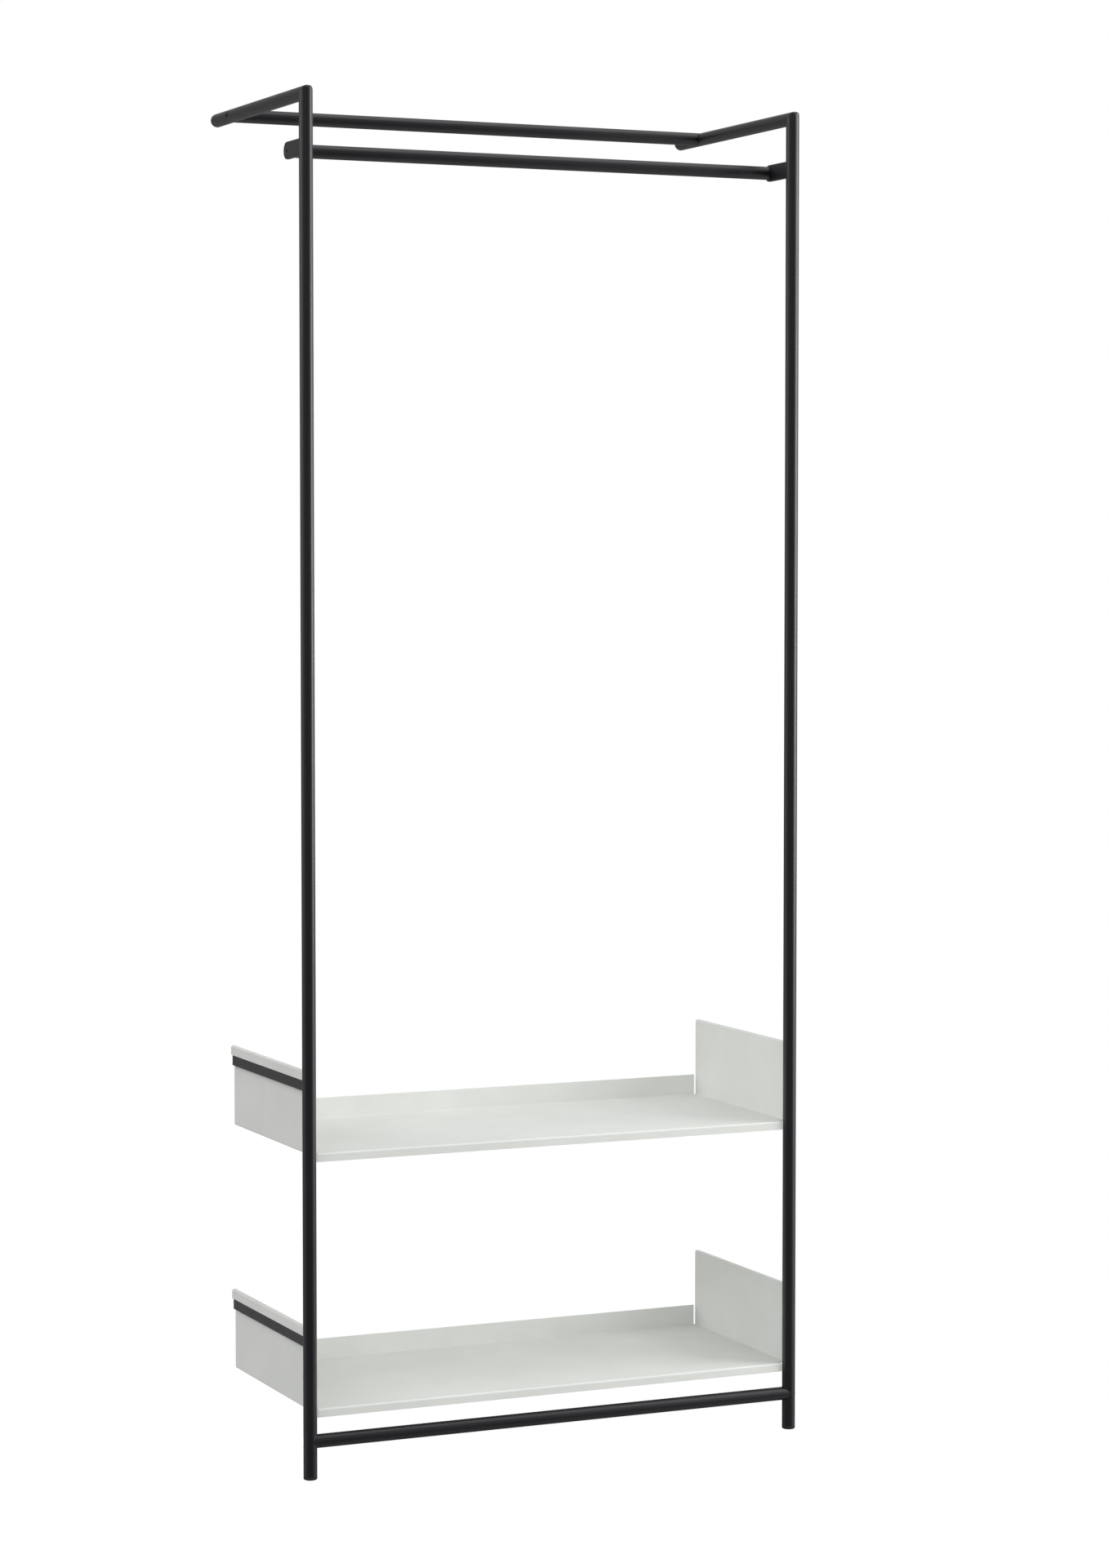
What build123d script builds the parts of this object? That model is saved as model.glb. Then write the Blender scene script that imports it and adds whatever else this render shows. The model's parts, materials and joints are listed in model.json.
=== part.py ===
"""Wall-leaning garment rail: two tube side frames, three cross tubes and two lift-off sheet shelves.

Millimetres. The origin is on the floor, centred between the sides and halfway between the front of
the uprights and the wall. +X is to the right as seen from the room, +Y is towards the wall, +Z is up.
"""

import os
from math import sqrt

from build123d import *

# ---- overall size ----
height = 2000.0
width = 800.0
depth = 400.0

# ---- tube frame ----
tube_r = 10.0
frame_wall = 2.0
rail_wall = 1.5
paint_gap = 0.05  # coating left between a coped or butted tube and the tube it meets
plug_gap = 0.05  # radial clearance of a plug or insert in its tube
corner_radius = 5.0  # the outer corner of a mitre is ground round

upright_x = width / 2 - tube_r
upright_y = tube_r - depth / 2
wall_y = depth / 2
arm_z = height - tube_r
arm_end_y = wall_y - tube_r

rear_rail_y = upright_y + 310.0
front_rail_y = upright_y + 73.0
front_rail_z = arm_z - 75.0
floor_bar_z = 55.0

# ---- front rail tabs ----
tab_height = 25.0
tab_thickness = 5.0

# ---- plastic plugs ----
foot_flange = 5.0
foot_edge_radius = 2.0
plug_length = 22.0

# ---- M6 countersunk screws and the threaded inserts in the cross tubes ----
screw_r = 3.0
screw_clear_r = 3.3
thread_gap = 0.02
head_r = 5.6
head_clear_r = 5.8
head_angle = 90.0
socket_across_flats = 4.0
socket_depth = 2.2
tube_head_sink = 1.4  # how far a head sits below the crest of the tube it clamps
tube_screw_length = 38.0
tab_screw_length = 16.0
insert_length = 20.0
coped_insert_x = upright_x - tube_r - 2.0  # outer end of an insert behind a coped tube end

# ---- flat bars that carry the shelves ----
bar_height = 15.0
bar_thickness = 5.0
bar_inner_x = upright_x + 1.0
bar_end_y = upright_y + 314.0
bar_rise = 92.0  # bottom of a bar above the underside of its shelf

# ---- folded sheet shelves ----
sheet = 1.5
shelf_z = {"lower": 100.0, "upper": 472.0}  # undersides of the shelf floors
side_height = 122.0
side_back_y = upright_y + 320.0
side_front_y = upright_y + tube_r + 2.0
rest_gap = 0.1  # between a hem's edge and the bar it rests on
bend_radius = 1.75  # to the middle of the sheet
side_corner_radius = 4.0
rear_lip_height = 33.0
rear_lip_gap = 3.0
front_lip_drop = 11.0
tongue_gap = 1.5  # between the front of a shelf and the uprights it passes between
overlap = 12.0  # length of floor that a lip shares with the main sheet

sides = {"left": -1, "right": 1}
mitre_plane = Plane(origin=(0, upright_y, arm_z), x_dir=(1, 0, 0), z_dir=(0, 1, 1))


def across(x, y, z, sign=1):
    """Plane at a point, facing +X or -X, with its own x axis upwards."""
    return Plane(origin=(x, y, z), x_dir=(0, 0, 1), z_dir=(sign, 0, 0))


def countersunk_hole(depth):
    """Clearance hole for an M6 countersunk screw, cut where the open builder's location points."""
    CounterSinkHole(screw_clear_r, head_clear_r, depth=depth, counter_sink_angle=head_angle)


def keep_part(builder, name):
    """Label a finished piece and write it to its own STEP file."""
    builder.part.label = name
    export_step(builder.part, f"parts/{name}.step")


def mitred_tube(start, length, kept):
    """Frame tube cut at 45 degrees where an upright turns into its arm, with the corner ground round."""
    round_y = corner_radius - depth / 2
    round_z = height - corner_radius
    with BuildPart() as tube:
        with BuildSketch(start):
            Circle(tube_r)
        extrude(amount=length)
        split(bisect_by=mitre_plane, keep=kept)
        with BuildSketch(start):
            Circle(tube_r - frame_wall)
        extrude(amount=length, mode=Mode.SUBTRACT)
        with BuildSketch(Plane.YZ):
            with Locations((-depth / 2, height)):
                Rectangle(2 * corner_radius, 2 * corner_radius)
            with Locations((round_y, round_z)):
                Circle(corner_radius, mode=Mode.SUBTRACT)
        extrude(amount=width / 2, both=True, mode=Mode.SUBTRACT)
    return tube.part


def cross_tube(y, z, end_x):
    """Rail that runs along X, centred, with its ends at plus and minus end_x."""
    with BuildPart() as tube:
        with BuildSketch(across(-end_x, y, z)):
            Circle(tube_r)
            Circle(tube_r - rail_wall, mode=Mode.SUBTRACT)
        extrude(amount=2 * end_x)
    return tube.part


def screw_pair(y, z, seat_x, length):
    """Two countersunk socket screws, pointing inwards, with their flat heads at seat_x."""
    head_height = head_r - screw_r
    socket_r = socket_across_flats / sqrt(3)
    with BuildPart() as screws:
        for sign in sides.values():
            axis_plane = Plane(origin=(sign * seat_x, y, z), x_dir=(-sign, 0, 0), z_dir=(0, -sign, 0))
            with BuildSketch(axis_plane):
                with BuildLine():
                    Polyline(
                        (0, 0),
                        (0, head_r),
                        (head_height, screw_r),
                        (length, screw_r),
                        (length, 0),
                        close=True,
                    )
                make_face()
            revolve(axis=Axis((sign * seat_x, y, z), (sign, 0, 0)))
            with BuildSketch(across(sign * seat_x, y, z, sign)):
                RegularPolygon(radius=socket_r, side_count=6)
            extrude(amount=-socket_depth, mode=Mode.SUBTRACT)
    return screws.part


def insert_pair(y, z, outer_x):
    """Two threaded plugs set inside the ends of a cross tube."""
    with BuildPart() as inserts:
        for sign in sides.values():
            with BuildSketch(across(sign * outer_x, y, z, sign)):
                Circle(tube_r - rail_wall - plug_gap)
                Circle(screw_r + thread_gap, mode=Mode.SUBTRACT)
            extrude(amount=-insert_length)
    return inserts.part


def folded_shelf(base_z):
    """One sheet folded into a floor, two hemmed sides, a rear lip and a front lip."""
    floor_z = base_z + sheet / 2
    panel_x = upright_x
    hem_x = bar_inner_x + bar_thickness - sheet / 2
    hem_radius = (hem_x - panel_x) / 2
    hem_z = base_z + side_height - sheet / 2 - hem_radius
    hem_edge_z = base_z + bar_rise + bar_height + rest_gap
    panel_inner_x = panel_x - sheet / 2
    lip_y = side_back_y - sheet / 2
    tongue_x = upright_x - tube_r - tongue_gap
    front_y = upright_y + sheet / 2

    with BuildPart() as shelf:
        # floor and both sides, each side turned over into a hem that hooks over its bar
        with BuildSketch(Plane.XZ.offset(-side_back_y)):
            with BuildLine():
                Line((hem_x, hem_edge_z), (hem_x, hem_z))
                ThreePointArc((hem_x, hem_z), (panel_x + hem_radius, hem_z + hem_radius), (panel_x, hem_z))
                FilletPolyline((panel_x, hem_z), (panel_x, floor_z), (0, floor_z), radius=bend_radius)
                mirror(about=Plane.YZ)
            trace(line_width=sheet)
        extrude(amount=side_back_y - side_front_y)

        # clear the back of the floor, so that the rear lip bends up between two relief notches
        relief_x = panel_inner_x - bend_radius + sheet / 2
        with BuildSketch(Plane.XY.offset(base_z)):
            with Locations((0, side_back_y)):
                Rectangle(2 * relief_x, 2 * bend_radius + 2 * sheet)
        extrude(amount=sheet, mode=Mode.SUBTRACT)

        with BuildSketch(Plane.YZ.offset(-panel_inner_x + rear_lip_gap)):
            with BuildLine():
                FilletPolyline(
                    (lip_y - overlap, floor_z),
                    (lip_y, floor_z),
                    (lip_y, base_z + rear_lip_height),
                    radius=bend_radius,
                )
            trace(line_width=sheet)
        extrude(amount=2 * (panel_inner_x - rear_lip_gap))

        # tongue of the floor that reaches forward between the uprights, with a lip turned down
        with BuildSketch(Plane.YZ.offset(-tongue_x)):
            with BuildLine():
                FilletPolyline(
                    (side_front_y + overlap, floor_z),
                    (front_y, floor_z),
                    (front_y, base_z - front_lip_drop),
                    radius=bend_radius,
                )
            trace(line_width=sheet)
        extrude(amount=2 * tongue_x)

        # round the top corners of both sides
        top_z = base_z + side_height
        with BuildSketch(Plane.YZ.offset(-width)):
            for corner_y, inward in ((side_back_y, -1), (side_front_y, 1)):
                with Locations((corner_y, top_z)):
                    Rectangle(2 * side_corner_radius, 2 * side_corner_radius)
                with Locations((corner_y + inward * side_corner_radius, top_z - side_corner_radius)):
                    Circle(side_corner_radius, mode=Mode.SUBTRACT)
        extrude(amount=2 * width, mode=Mode.SUBTRACT)
    return shelf.part


os.makedirs("parts", exist_ok=True)

# ---- side frames: upright, top arm, rail tab, shelf bars and plugs ----
for side, sign in sides.items():
    x = sign * upright_x
    tube_seat_x = sign * (width / 2 - tube_head_sink)

    with BuildPart() as upright:
        add(mitred_tube(Plane((x, upright_y, foot_flange)), height - foot_flange, Keep.BOTTOM))
        with Locations(across(tube_seat_x, upright_y, floor_bar_z, sign)):
            countersunk_hole(2 * tube_r)
    keep_part(upright, f"{side}_upright")

    with BuildPart() as arm:
        corner_y = upright_y - tube_r
        arm_start = Plane(origin=(x, corner_y, arm_z), x_dir=(1, 0, 0), z_dir=(0, 1, 0))
        add(mitred_tube(arm_start, arm_end_y - corner_y, Keep.TOP))
        with Locations(across(tube_seat_x, rear_rail_y, arm_z, sign)):
            countersunk_hole(2 * tube_r)
    keep_part(arm, f"{side}_top_arm")

    with BuildPart() as arm_plug:
        with BuildSketch(Plane(origin=(x, arm_end_y, arm_z), x_dir=(0, 0, 1), z_dir=(-1, 0, 0))):
            plug_r = tube_r - frame_wall - plug_gap
            with BuildLine():
                CenterArc((0, 0), tube_r, 0, 90)
                Polyline((0, tube_r), (0, -plug_length), (plug_r, -plug_length), (plug_r, 0), (tube_r, 0))
            make_face()
        revolve(axis=Axis((x, arm_end_y, arm_z), (0, 1, 0)))
    keep_part(arm_plug, f"{side}_arm_end_plug")

    with BuildPart() as glide:
        with BuildSketch(Plane((x, upright_y, 0))):
            Circle(tube_r)
        extrude(amount=foot_flange)
        fillet(glide.edges().sort_by(Axis.Z)[0], radius=foot_edge_radius)
        with BuildSketch(Plane((x, upright_y, foot_flange))):
            Circle(tube_r - frame_wall - plug_gap)
        extrude(amount=plug_length)
    keep_part(glide, f"{side}_foot_glide")

    with BuildPart() as tab:
        with BuildSketch(Plane.YZ.offset(x - tab_thickness / 2)):
            with Locations(((upright_y + front_rail_y) / 2, front_rail_z)):
                Rectangle(front_rail_y - upright_y, tab_height)
            with Locations((front_rail_y, front_rail_z)):
                Circle(tab_height / 2)
        extrude(amount=tab_thickness)
        with Locations((x, upright_y, front_rail_z)):
            Cylinder(tube_r + paint_gap, 2 * tab_height, mode=Mode.SUBTRACT)
        with Locations(across(x + sign * tab_thickness / 2, front_rail_y, front_rail_z, sign)):
            countersunk_hole(2 * tab_thickness)
    keep_part(tab, f"{side}_rail_tab")

    for level, base_z in shelf_z.items():
        bar_length = bar_end_y - upright_y
        bar_x = sign * (bar_inner_x + bar_thickness / 2)
        with BuildPart() as bar:
            with BuildSketch(Plane((bar_x, upright_y + bar_length / 2, base_z + bar_rise))):
                Rectangle(bar_thickness, bar_length)
            extrude(amount=bar_height)
            with Locations((x, upright_y, base_z + bar_rise)):
                Cylinder(tube_r + paint_gap, 4 * bar_height, mode=Mode.SUBTRACT)
        keep_part(bar, f"{side}_{level}_shelf_bar")

# ---- rear rail, coped onto the arms ----
with BuildPart() as rear_rail:
    add(cross_tube(rear_rail_y, arm_z, upright_x))
    with Locations((-upright_x, rear_rail_y, arm_z), (upright_x, rear_rail_y, arm_z)):
        Cylinder(tube_r + paint_gap, 4 * tube_r, rotation=(90, 0, 0), mode=Mode.SUBTRACT)
keep_part(rear_rail, "rear_rail")

# ---- floor bar, coped onto the uprights ----
with BuildPart() as floor_bar:
    add(cross_tube(upright_y, floor_bar_z, upright_x))
    with Locations((-upright_x, upright_y, floor_bar_z), (upright_x, upright_y, floor_bar_z)):
        Cylinder(tube_r + paint_gap, 4 * tube_r, mode=Mode.SUBTRACT)
keep_part(floor_bar, "floor_bar")

# ---- front rail, square-cut between the tabs ----
front_rail_end_x = upright_x - tab_thickness / 2 - paint_gap
with BuildPart() as front_rail:
    add(cross_tube(front_rail_y, front_rail_z, front_rail_end_x))
keep_part(front_rail, "front_rail")

# ---- inserts and screws that hold the three cross tubes ----
fixings = {
    "rear_rail": (rear_rail_y, arm_z, width / 2 - tube_head_sink, tube_screw_length, coped_insert_x),
    "floor_bar": (upright_y, floor_bar_z, width / 2 - tube_head_sink, tube_screw_length, coped_insert_x),
    "front_rail": (
        front_rail_y,
        front_rail_z,
        upright_x + tab_thickness / 2 - (head_clear_r - head_r),
        tab_screw_length,
        front_rail_end_x,
    ),
}
for rail_name, (y, z, seat_x, screw_length, insert_x) in fixings.items():
    with BuildPart() as screws:
        add(screw_pair(y, z, seat_x, screw_length))
    keep_part(screws, f"{rail_name}_screws")

    with BuildPart() as inserts:
        add(insert_pair(y, z, insert_x))
    keep_part(inserts, f"{rail_name}_inserts")

# ---- shelves ----
for level, base_z in shelf_z.items():
    with BuildPart() as shelf:
        add(folded_shelf(base_z))
    keep_part(shelf, f"{level}_shelf")
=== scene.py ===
"""Looks of a wall-leaning garment rail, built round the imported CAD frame. Metres, CAD frame."""

import json
import math

import bmesh
import bpy
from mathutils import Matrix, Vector


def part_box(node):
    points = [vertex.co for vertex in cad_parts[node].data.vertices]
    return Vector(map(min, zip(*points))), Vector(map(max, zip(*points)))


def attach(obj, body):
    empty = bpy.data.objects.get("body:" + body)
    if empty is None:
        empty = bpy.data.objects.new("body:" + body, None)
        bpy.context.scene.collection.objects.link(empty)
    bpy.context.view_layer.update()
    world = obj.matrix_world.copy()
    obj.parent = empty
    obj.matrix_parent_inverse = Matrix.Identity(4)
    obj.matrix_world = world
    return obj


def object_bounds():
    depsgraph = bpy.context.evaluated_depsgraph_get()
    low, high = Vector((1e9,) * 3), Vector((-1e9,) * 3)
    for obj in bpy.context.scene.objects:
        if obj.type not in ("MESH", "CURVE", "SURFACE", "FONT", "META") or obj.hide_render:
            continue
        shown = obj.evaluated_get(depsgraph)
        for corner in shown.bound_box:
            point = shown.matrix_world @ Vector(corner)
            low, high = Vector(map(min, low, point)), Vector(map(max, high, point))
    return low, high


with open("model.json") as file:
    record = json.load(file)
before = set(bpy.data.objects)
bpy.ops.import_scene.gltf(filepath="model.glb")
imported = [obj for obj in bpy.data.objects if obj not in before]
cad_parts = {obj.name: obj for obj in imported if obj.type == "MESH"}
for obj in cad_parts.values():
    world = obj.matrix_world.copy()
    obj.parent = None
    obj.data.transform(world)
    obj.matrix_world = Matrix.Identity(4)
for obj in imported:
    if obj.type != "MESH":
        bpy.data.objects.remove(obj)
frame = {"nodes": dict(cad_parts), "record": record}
cad_low, cad_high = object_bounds()

MM = 0.001
SIDES = {"left": -1, "right": 1}
LEVELS = ("upper", "lower")
NOISE_CORE = (0.3, 0.7)  # most values of a noise lie between these
NOISE_RANGE = (0.25, 0.75)  # nearly all of them lie between these


# ---------------------------------------------------------------- sizes read from the frame


def middle(low, high):
    """Point halfway between two corners."""
    return (low + high) / 2


upright_low, upright_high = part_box("right_upright")
tube_radius = (upright_high.x - upright_low.x) / 2
upright_x = middle(upright_low, upright_high).x
upright_y = upright_low.y + tube_radius


# ---------------------------------------------------------------- material nodes


class Shader:
    """A node material with one Principled surface, and short calls for the nodes that drive it."""

    def __init__(self, name):
        self.material = bpy.data.materials.new(name)
        self.material.use_nodes = True
        self.tree = self.material.node_tree
        self.tree.nodes.clear()
        output = self.tree.nodes.new("ShaderNodeOutputMaterial")
        self.surface = self.tree.nodes.new("ShaderNodeBsdfPrincipled")
        self.link(self.surface.outputs["BSDF"], output.inputs["Surface"])
        self.place = self.tree.nodes.new("ShaderNodeTexCoord").outputs["Object"]

    def link(self, source, target):
        self.tree.links.new(source, target)

    def set(self, **values):
        """Fixed values of the Principled surface, with _ for a space in an input's name."""
        for name, value in values.items():
            self.surface.inputs[name.replace("_", " ")].default_value = value

    def noise(self, grain, detail=2.0, roughness=0.5, stretch=(1, 1, 1)):
        """Noise from 0 to 1 whose grains are about the given size, in metres.

        A stretch below 1 along an axis makes the grains longer along it, one above 1 shorter.
        """
        mapping = self.tree.nodes.new("ShaderNodeMapping")
        mapping.inputs["Scale"].default_value = stretch
        self.link(self.place, mapping.inputs["Vector"])
        noise = self.tree.nodes.new("ShaderNodeTexNoise")
        noise.inputs["Scale"].default_value = 1 / grain
        noise.inputs["Detail"].default_value = detail
        noise.inputs["Roughness"].default_value = roughness
        self.link(mapping.outputs["Vector"], noise.inputs["Vector"])
        return noise.outputs["Fac"]

    def spread(self, value, low, high, to_low=0.0, to_high=1.0):
        """Smooth map of a value between two limits to another pair of limits."""
        node = self.tree.nodes.new("ShaderNodeMapRange")
        node.interpolation_type = "SMOOTHSTEP"
        node.inputs["From Min"].default_value = low
        node.inputs["From Max"].default_value = high
        node.inputs["To Min"].default_value = to_low
        node.inputs["To Max"].default_value = to_high
        self.link(value, node.inputs["Value"])
        return node.outputs["Result"]

    def math(self, operation, first, second):
        """One arithmetic node; either side may be a number or a socket."""
        node = self.tree.nodes.new("ShaderNodeMath")
        node.operation = operation
        for value, target in ((first, node.inputs[0]), (second, node.inputs[1])):
            if isinstance(value, (int, float)):
                target.default_value = value
            else:
                self.link(value, target)
        return node.outputs["Value"]

    def mix(self, share, first, second):
        """Colour between two colours; each may be a tuple or a socket."""
        node = self.tree.nodes.new("ShaderNodeMix")
        node.data_type = "RGBA"
        self.link(share, node.inputs["Factor"])
        colour_inputs = [socket for socket in node.inputs if socket.type == "RGBA"]
        for value, target in zip((first, second), colour_inputs):
            if isinstance(value, tuple):
                target.default_value = (*value, 1)
            else:
                self.link(value, target)
        return next(socket for socket in node.outputs if socket.type == "RGBA")

    def edge(self, radius):
        """Share from 0 to 1 that is high along convex and concave edges of about the given radius."""
        flat_match = 0.97
        sharp_match = 0.72
        bevel = self.tree.nodes.new("ShaderNodeBevel")
        bevel.samples = 6
        bevel.inputs["Radius"].default_value = radius
        geometry = self.tree.nodes.new("ShaderNodeNewGeometry")
        dot = self.tree.nodes.new("ShaderNodeVectorMath")
        dot.operation = "DOT_PRODUCT"
        self.link(bevel.outputs["Normal"], dot.inputs[0])
        self.link(geometry.outputs["Normal"], dot.inputs[1])
        return self.spread(dot.outputs["Value"], flat_match, sharp_match)

    def bumps(self, *layers):
        """Stacked bump nodes, each from a height socket and its depth in metres."""
        normal = None
        for height, depth in layers:
            bump = self.tree.nodes.new("ShaderNodeBump")
            bump.inputs["Distance"].default_value = depth
            self.link(height, bump.inputs["Height"])
            if normal:
                self.link(normal, bump.inputs["Normal"])
            normal = bump.outputs["Normal"]
        self.link(normal, self.surface.inputs["Normal"])


def powder_coat(name, dark, light, worn_and_highlit, roughness, reflection, slant_reflection, edge_wear_and_highlight_amount, depth):
    """Fine-textured powder coat: cloudy colour, speckle, orange peel, and paler edges that are partly thin
    coating and partly a painted edge highlight.
    """
    cloud_share = 0.6
    roughness_drift = 0.035
    fleck_roughness = 0.04
    worn_polish = -0.12
    face_on = 0.05
    slanted = 0.30
    peel_depth = 0.6 * depth
    shader = Shader(name)
    cloud = shader.spread(shader.noise(0.11, detail=3.0, roughness=0.6), *NOISE_CORE)
    speckle = shader.noise(0.9 * MM, roughness=0.6)
    peel = shader.noise(2.6 * MM)
    grain = shader.noise(0.5 * MM, detail=3.0, roughness=0.65)
    cloud_part = shader.math("MULTIPLY", cloud, cloud_share)
    speckle_part = shader.math("MULTIPLY", speckle, 1 - cloud_share)
    tone = shader.math("ADD", cloud_part, speckle_part)
    colour = shader.mix(tone, dark, light)
    # Paler colour along edges, in patches: partly coat worn thin, partly a painted edge highlight.
    patches = shader.spread(shader.noise(9 * MM, detail=4.0, roughness=0.7), 0.3, 0.65)
    worn_and_highlit_edge = shader.math("MULTIPLY", shader.edge(0.9 * MM), patches)
    edge_wear_and_highlight_share = shader.math("MULTIPLY", worn_and_highlit_edge, edge_wear_and_highlight_amount)
    shader.link(shader.mix(edge_wear_and_highlight_share, colour, worn_and_highlit), shader.surface.inputs["Base Color"])
    drift = shader.noise(0.05, detail=3.0, roughness=0.6)
    matt = shader.spread(drift, *NOISE_RANGE, roughness - roughness_drift, roughness + roughness_drift)
    fleck = shader.spread(speckle, *NOISE_CORE, -fleck_roughness, fleck_roughness)
    polished = shader.math("MULTIPLY", edge_wear_and_highlight_share, worn_polish)
    total = shader.math("ADD", shader.math("ADD", matt, fleck), polished)
    shader.link(total, shader.surface.inputs["Roughness"])
    slant = shader.tree.nodes.new("ShaderNodeLayerWeight").outputs["Facing"]
    sheen = shader.spread(slant, face_on, slanted, reflection, slant_reflection)
    shader.link(sheen, shader.surface.inputs["Specular IOR Level"])
    shader.bumps((peel, peel_depth), (grain, depth))
    return shader.material


def moulded_plastic(name, dark, light):
    """Matte moulded plastic with a fine spark-eroded grain, faint flow streaks and scuffs."""
    scuffed = (0.06, 0.06, 0.06)
    scuff_share = 0.35
    along_flow = (1, 0.3, 1)
    flat_marks = (1, 1, 3)
    shader = Shader(name)
    streak = shader.noise(4 * MM, detail=3.0, roughness=0.6, stretch=along_flow)
    grain = shader.noise(0.35 * MM, detail=3.0, roughness=0.7)
    marks = shader.noise(2.2 * MM, detail=4.0, roughness=0.75, stretch=flat_marks)
    scuff = shader.math("MAXIMUM", shader.spread(marks, 0.56, 0.72), shader.edge(0.5 * MM))
    worn_and_highlit = shader.math("MULTIPLY", scuff, scuff_share)
    base = shader.mix(shader.spread(streak, *NOISE_CORE), dark, light)
    shader.link(shader.mix(worn_and_highlit, base, scuffed), shader.surface.inputs["Base Color"])
    matt = shader.spread(grain, *NOISE_RANGE, to_low=0.5, to_high=0.66)
    shader.link(matt, shader.surface.inputs["Roughness"])
    shader.set(Specular_IOR_Level=0.35)
    shader.bumps((grain, 0.03 * MM))
    return shader.material


def coated_steel(name):
    """Black-oxide screw steel: blotchy and finely grained, bright along the edges a key rubs."""
    dark_oxide = (0.05, 0.049, 0.05)
    light_oxide = (0.085, 0.083, 0.084)
    bare_steel = (0.42, 0.41, 0.40)
    rub_share = 0.8
    shader = Shader(name)
    blotch = shader.spread(shader.noise(1.8 * MM, detail=3.0, roughness=0.6), *NOISE_CORE)
    rubbed = shader.math("MULTIPLY", shader.edge(0.35 * MM), rub_share)
    oxide = shader.mix(blotch, dark_oxide, light_oxide)
    shader.link(shader.mix(rubbed, oxide, bare_steel), shader.surface.inputs["Base Color"])
    grain = shader.noise(0.25 * MM, detail=3.0, roughness=0.6)
    matt = shader.spread(grain, *NOISE_RANGE, to_low=0.36, to_high=0.54)
    shader.link(matt, shader.surface.inputs["Roughness"])
    shader.set(Metallic=0.8)
    shader.bumps((grain, 0.012 * MM))
    return shader.material


def zinc_steel(name):
    """Zinc-plated turned steel with blotchy crystals and fine rings round the rail's axis."""
    dark_zinc = (0.5, 0.5, 0.49)
    light_zinc = (0.68, 0.68, 0.66)
    round_axis = (1, 0.05, 0.05)
    shader = Shader(name)
    crystal = shader.spread(shader.noise(1.5 * MM, detail=4.0, roughness=0.6), *NOISE_CORE)
    shader.link(shader.mix(crystal, dark_zinc, light_zinc), shader.surface.inputs["Base Color"])
    rings = shader.noise(0.6 * MM, stretch=round_axis)
    matt = shader.spread(rings, *NOISE_RANGE, to_low=0.26, to_high=0.42)
    shader.link(matt, shader.surface.inputs["Roughness"])
    shader.set(Metallic=1.0)
    shader.bumps((rings, 0.02 * MM))
    return shader.material


materials = {
    "frame_powder_coat": powder_coat(
        "frame_powder_coat",
        dark=(0.0048, 0.0044, 0.0068),
        light=(0.0068, 0.0063, 0.0092),
        # paler edge colour: worn coat and painted edge highlight
        worn_and_highlit=(0.024, 0.023, 0.025),
        roughness=0.38,
        reflection=0.24,
        slant_reflection=0.75,
        edge_wear_and_highlight_amount=0.5,
        depth=0.035 * MM,
    ),
    "shelf_powder_coat": powder_coat(
        "shelf_powder_coat",
        dark=(0.690, 0.710, 0.675),
        light=(0.745, 0.765, 0.730),
        # paler edge colour: worn coat and painted edge highlight
        worn_and_highlit=(0.80, 0.81, 0.78),
        roughness=0.46,
        reflection=0.20,
        slant_reflection=0.30,
        edge_wear_and_highlight_amount=0.35,
        depth=0.012 * MM,
    ),
    "black_plastic": moulded_plastic(
        "black_plastic",
        dark=(0.0095, 0.0095, 0.010),
        light=(0.0145, 0.0145, 0.0150),
    ),
    "black_screw_steel": coated_steel("black_screw_steel"),
    "zinc_steel": zinc_steel("zinc_steel"),
}


for part in frame["record"]["subparts"]:
    for material_slot in frame["nodes"][part["node"]].material_slots:
        material_slot.material = materials[part["material_slot"]]


# ---------------------------------------------------------------- edges of the CAD pieces


def merge_seams(node_name):
    """Join the doubled points of a CAD piece, which also drops faces with no area."""
    piece = frame["nodes"][node_name]
    weld = piece.modifiers.new("seams", "WELD")
    weld.merge_threshold = 0.001 * MM
    return piece


def soften(node_name, width, segments=2):
    """Rounded edges on a CAD piece: merge seams, join flat triangles, bevel, even the normals."""
    piece = merge_seams(node_name)
    flat = piece.modifiers.new("flats", "DECIMATE")
    flat.decimate_type = "DISSOLVE"
    flat.angle_limit = math.radians(0.5)
    bevel = piece.modifiers.new("edges", "BEVEL")
    bevel.width = width
    bevel.segments = segments
    bevel.limit_method = "ANGLE"
    bevel.angle_limit = math.radians(30)
    bevel.use_clamp_overlap = False
    normals = piece.modifiers.new("normals", "WEIGHTED_NORMAL")
    normals.keep_sharp = False
    normals.weight = 80


for side in SIDES:
    merge_seams(f"{side}_arm_end_plug")
    soften(f"{side}_rail_tab", 0.7 * MM, segments=3)
    soften(f"{side}_upright", 0.25 * MM)
    soften(f"{side}_top_arm", 0.25 * MM)
    for level in LEVELS:
        soften(f"{side}_{level}_shelf_bar", 0.6 * MM, segments=3)
for rail in ("rear_rail", "front_rail", "floor_bar"):
    soften(rail, 0.4 * MM)
    soften(f"{rail}_screws", 0.12 * MM)
for level in LEVELS:
    soften(f"{level}_shelf", 0.3 * MM, segments=3)


# ---------------------------------------------------------------- weld beads


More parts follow.
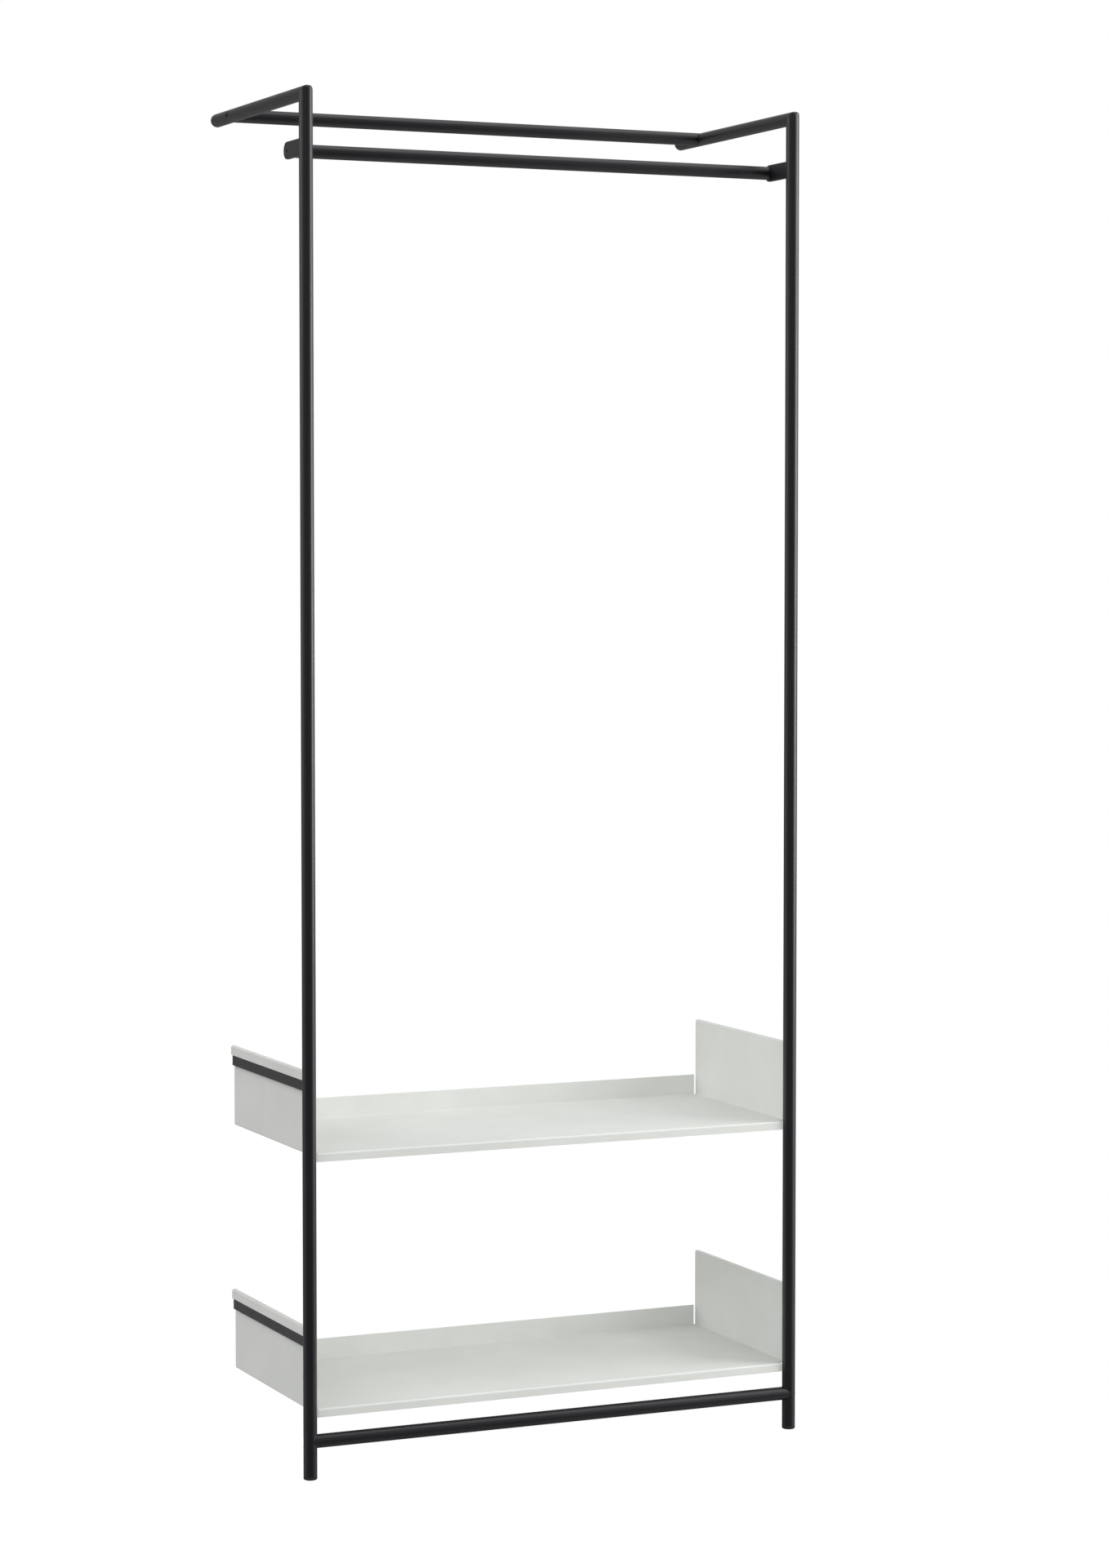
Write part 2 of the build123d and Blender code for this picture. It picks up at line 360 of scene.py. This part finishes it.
def bead(name, points, outward, radius):
    """Coated weld bead along a line of points: a low round rib, softly rippled, half sunk in the joint."""
    ring_points = 10
    height = 0.55 * radius
    ripple_share = 0.07
    ripple_turn = 2.1
    count = len(points)
    mesh = bmesh.new()
    rings = []
    for index, point in enumerate(points):
        ahead = points[min(index + 1, count - 1)]
        behind = points[max(index - 1, 0)]
        along = (ahead - behind).normalized()
        up = (outward - along * outward.dot(along)).normalized()
        across = along.cross(up)
        ripple = 1 + ripple_share * math.sin(index * ripple_turn)
        end_taper = math.sqrt(math.sin(math.pi * (index + 0.5) / count))
        ring = []
        for step in range(ring_points):
            turn = 2 * math.pi * step / ring_points
            offset = across * math.cos(turn) * radius + up * math.sin(turn) * height * ripple
            ring.append(mesh.verts.new(point + offset * end_taper))
        rings.append(ring)
    for here, there in zip(rings, rings[1:]):
        for step in range(ring_points):
            following = (step + 1) % ring_points
            mesh.faces.new((here[step], here[following], there[following], there[step]))
    mesh.faces.new(rings[0][::-1])
    mesh.faces.new(rings[-1])
    bmesh.ops.recalc_face_normals(mesh, faces=mesh.faces)
    data = bpy.data.meshes.new(name)
    mesh.to_mesh(data)
    mesh.free()
    for polygon in data.polygons:
        polygon.use_smooth = True
    piece = bpy.data.objects.new(name, data)
    bpy.context.scene.collection.objects.link(piece)
    data.materials.append(materials["frame_powder_coat"])
    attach(piece, "frame")


def plate_weld(name, upright_axis_x, face_x, face_sign, low_z, high_z):
    """Bead up the corner between the back of an upright and a plate's face that looks along face_sign."""
    ring_count = 12
    lean_back = 0.6
    reach = face_x - upright_axis_x
    y = upright_y + math.sqrt(tube_radius ** 2 - reach ** 2)
    heights = [low_z + (high_z - low_z) * step / (ring_count - 1) for step in range(ring_count)]
    points = [Vector((face_x, y, height)) for height in heights]
    away = Vector((face_sign, lean_back, 0)).normalized()
    bead(name, points, away, radius=1.3 * MM)


weld_inset = 1.5 * MM
for side, sign in SIDES.items():
    for plate in ("rail_tab", "upper_shelf_bar", "lower_shelf_bar"):
        low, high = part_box(f"{side}_{plate}")
        for face, face_sign in (("inner", -sign), ("outer", sign)):
            name = f"{side}_{plate}_{face}_weld"
            face_x = high.x if face_sign > 0 else low.x
            low_z = low.z + weld_inset
            high_z = high.z - weld_inset
            plate_weld(name, sign * upright_x, face_x, face_sign, low_z, high_z)


# ---------------------------------------------------------------- stage


def camera_only(tree, seen, unseen):
    """Mix two shader sockets so that the camera sees the first and every other ray meets the second."""
    path = tree.nodes.new("ShaderNodeLightPath")
    mix = tree.nodes.new("ShaderNodeMixShader")
    tree.links.new(path.outputs["Is Camera Ray"], mix.inputs[0])
    tree.links.new(unseen, mix.inputs[1])
    tree.links.new(seen, mix.inputs[2])
    return mix.outputs[0]


def pale_floor():
    """Plain studio floor: white to the camera, like the backdrop, and greyer to the object on it."""
    unseen_grey = 0.32
    mesh = bmesh.new()
    bmesh.ops.create_circle(mesh, cap_ends=True, segments=48, radius=40.0)
    data = bpy.data.meshes.new("floor")
    mesh.to_mesh(data)
    mesh.free()
    floor = bpy.data.objects.new("floor", data)
    floor.location.z = cad_low.z
    bpy.context.scene.collection.objects.link(floor)
    material = bpy.data.materials.new("pale_floor")
    material.use_nodes = True
    tree = material.node_tree
    tree.nodes.clear()
    output = tree.nodes.new("ShaderNodeOutputMaterial")
    glow = tree.nodes.new("ShaderNodeEmission")
    glow.inputs["Color"].default_value = (1, 1, 1, 1)
    grey = tree.nodes.new("ShaderNodeBsdfDiffuse")
    grey.inputs["Color"].default_value = (unseen_grey, unseen_grey, unseen_grey, 1)
    tree.links.new(camera_only(tree, glow.outputs[0], grey.outputs[0]), output.inputs["Surface"])
    data.materials.append(material)


def studio_world(base, lobes):
    """White background for the camera; for the object, an even base with broad soft lobes of light.

    Each lobe is the direction it comes from, the angle of its rim in degrees, and its radiance.
    """
    world = bpy.data.worlds.new("studio")
    bpy.context.scene.world = world
    world.use_nodes = True
    tree = world.node_tree
    tree.nodes.clear()
    output = tree.nodes.new("ShaderNodeOutputWorld")
    backdrop = tree.nodes.new("ShaderNodeBackground")
    backdrop.inputs["Color"].default_value = (1, 1, 1, 1)
    place = tree.nodes.new("ShaderNodeTexCoord")
    strength = None
    for direction, rim, radiance in lobes:
        facing = tree.nodes.new("ShaderNodeVectorMath")
        facing.operation = "DOT_PRODUCT"
        tree.links.new(place.outputs["Generated"], facing.inputs[0])
        facing.inputs[1].default_value = Vector(direction).normalized()
        ramp = tree.nodes.new("ShaderNodeMapRange")
        ramp.interpolation_type = "SMOOTHSTEP"
        ramp.inputs["From Min"].default_value = math.cos(math.radians(rim))
        ramp.inputs["From Max"].default_value = 1.0
        ramp.inputs["To Max"].default_value = radiance
        tree.links.new(facing.outputs["Value"], ramp.inputs["Value"])
        total = tree.nodes.new("ShaderNodeMath")
        total.operation = "ADD"
        tree.links.new(ramp.outputs["Result"], total.inputs[0])
        if strength is None:
            total.inputs[1].default_value = base
        else:
            tree.links.new(strength, total.inputs[1])
        strength = total.outputs["Value"]
    studio = tree.nodes.new("ShaderNodeBackground")
    studio.inputs["Color"].default_value = (1.0, 0.99, 1.0, 1)
    tree.links.new(strength, studio.inputs["Strength"])
    tree.links.new(camera_only(tree, backdrop.outputs[0], studio.outputs[0]), output.inputs["Surface"])


def softbox(name, centre, aim, width, height, radiance):
    """Rectangular area light that faces a point; its power follows from how bright its face looks."""
    data = bpy.data.lights.new(name, "AREA")
    data.shape = "RECTANGLE"
    data.size = width
    data.size_y = height
    data.energy = radiance * math.pi * width * height
    light = bpy.data.objects.new(name, data)
    light.location = centre
    light.rotation_mode = "QUATERNION"
    light.rotation_quaternion = (Vector(aim) - Vector(centre)).to_track_quat("-Z", "Y")
    light.visible_camera = False
    bpy.context.scene.collection.objects.link(light)


object_middle = middle(cad_low, cad_high)
pale_floor()
studio_world(
    base=0.11,
    lobes=(
        ((-1.0, 0.0, 0.2), 70, 1.0),  # left
        ((-0.8, 0.2, 0.6), 45, 0.65),  # upper left
        ((0.2, -1.0, 0.1), 60, 0.6),  # front
        ((-0.45, -0.75, 0.75), 40, 1.0),  # upper front left
        ((0.4, -0.2, 0.9), 35, 1.25),  # overhead, a little to the right
        ((0.75, 0.60, 0.25), 75, 0.6),  # back right
    ),
)
softbox("right_softbox", (3.2, -1.7, 1.8), object_middle, width=2.2, height=2.7, radiance=4.8)
softbox("low_right_softbox", (3.0, -2.0, 0.9), object_middle, width=1.8, height=1.6, radiance=1.8)


def long_lens_camera():
    """Camera in front of the object and to its left, at about two thirds of its height."""
    data = bpy.data.cameras.new("camera")
    data.sensor_width = 36.0
    data.lens = 86.2
    data.shift_y = -0.018
    camera = bpy.data.objects.new("camera", data)
    camera.location = (-2.275, -5.227, 1.328)
    turn_right = math.radians(24.28)
    tilt_down = math.radians(2.99)
    camera.rotation_euler = (math.pi / 2 - tilt_down, 0, -turn_right)
    bpy.context.scene.collection.objects.link(camera)
    bpy.context.scene.camera = camera


long_lens_camera()
bpy.context.scene.view_settings.view_transform = "Standard"
